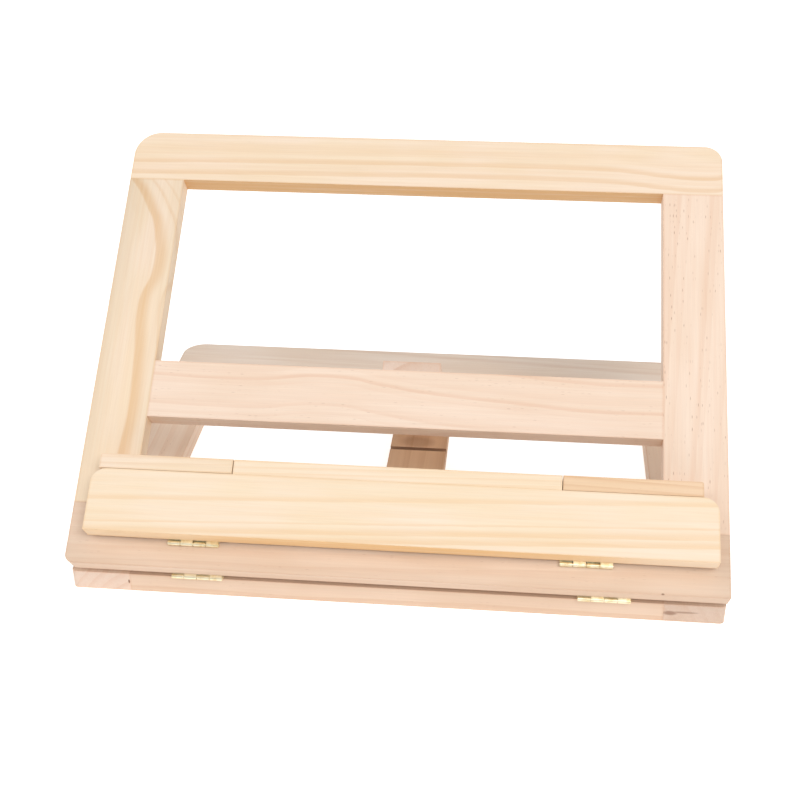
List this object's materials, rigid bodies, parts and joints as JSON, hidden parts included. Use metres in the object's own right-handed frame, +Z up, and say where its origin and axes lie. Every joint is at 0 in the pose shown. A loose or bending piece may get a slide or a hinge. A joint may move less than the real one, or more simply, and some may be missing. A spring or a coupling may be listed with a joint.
{
  "type": "book display stand",
  "caption": "Folding wooden book stand: tilting back frame on a grooved base, folding support leg, hinged ledge and swivelling page holders.",
  "frame": {"origin": "centre of the base's underside, on the centre bar", "axes": "+X to the right of a reader facing the stand, +Y to the rear, +Z up"},
  "size_m": [0.32, 0.2541, 0.1728],
  "materials": {
    "pine_yellow": "smooth sanded pale pine, straight grain, clear matt",
    "pine_pink": "smooth sanded pinkish pine, fine grain, clear matt",
    "pine_dark": "smooth sanded tan pine, clear matt",
    "dowel_wood": "turned wood, unfinished",
    "brass": "bright stamped brass",
    "steel": "zinc-plated steel"
  },
  "bodies": {
    "base": {"base_left_rail": "pine_pink", "base_right_rail": "pine_pink", "base_front_rail": "pine_pink", "base_rear_rail": "pine_yellow", "base_centre_bar": "pine_dark", "base_dowels": "dowel_wood", "base_hinge_lower_leaves": "brass", "base_hinge_pins": "brass", "base_hinge_lower_screws": "brass"},
    "back_frame": {"frame_left_stile": "pine_yellow", "frame_right_stile": "pine_pink", "frame_top_rail": "pine_yellow", "frame_middle_rail": "pine_pink", "frame_bottom_rail": "pine_pink", "frame_dowels": "dowel_wood", "base_hinge_upper_leaves": "brass", "base_hinge_upper_screws": "brass", "ledge_hinge_frame_leaves": "brass", "ledge_hinge_pins": "brass", "ledge_hinge_frame_screws": "brass", "leg_hinge_frame_leaf": "brass", "leg_hinge_pin": "brass", "leg_hinge_frame_screws": "brass"},
    "leg": {"support_leg": "pine_pink", "leg_hinge_leg_leaf": "brass", "leg_hinge_leg_screws": "brass"},
    "ledge": {"ledge_board": "pine_yellow", "ledge_lip": "pine_yellow", "ledge_hinge_board_leaves": "brass", "ledge_hinge_board_screws": "brass", "page_holder_screws": "steel"},
    "left_holder": {"left_page_holder": "pine_dark"},
    "right_holder": {"right_page_holder": "pine_dark"}
  },
  "joints": [
    {"name": "frame_tilt", "type": "hinge", "parent": "base", "child": "back_frame", "pos_m": [0, -0.1247, 0.0112], "axis": [1, 0, 0], "range_deg": [-38, 22]},
    {"name": "leg_fold", "type": "hinge", "parent": "back_frame", "child": "leg", "pos_m": [0, -0.03747, 0.07935], "axis": [1, 0, 0], "range_deg": [-48.93, 84.37]},
    {"name": "ledge_fold", "type": "hinge", "parent": "back_frame", "child": "ledge", "pos_m": [0, -0.12193, 0.0291], "axis": [1, 0, 0], "range_deg": [0, 100]},
    {"name": "left_holder_turn", "type": "hinge", "parent": "ledge", "child": "left_holder", "pos_m": [-0.12, -0.09581, 0.05738], "axis": [0, 0.788, 0.6157], "range_deg": [0, 90]},
    {"name": "right_holder_turn", "type": "hinge", "parent": "ledge", "child": "right_holder", "pos_m": [0.12, -0.09581, 0.05738], "axis": [0, 0.788, 0.6157], "range_deg": [-90, 0]}
  ],
  "couplings": [
    {"joint": "leg_fold", "follows": "frame_tilt", "ratio": -2.2149},
    {"joint": "left_holder_turn", "follows": "ledge_fold", "ratio": 0.9},
    {"joint": "right_holder_turn", "follows": "ledge_fold", "ratio": -0.9}
  ]
}
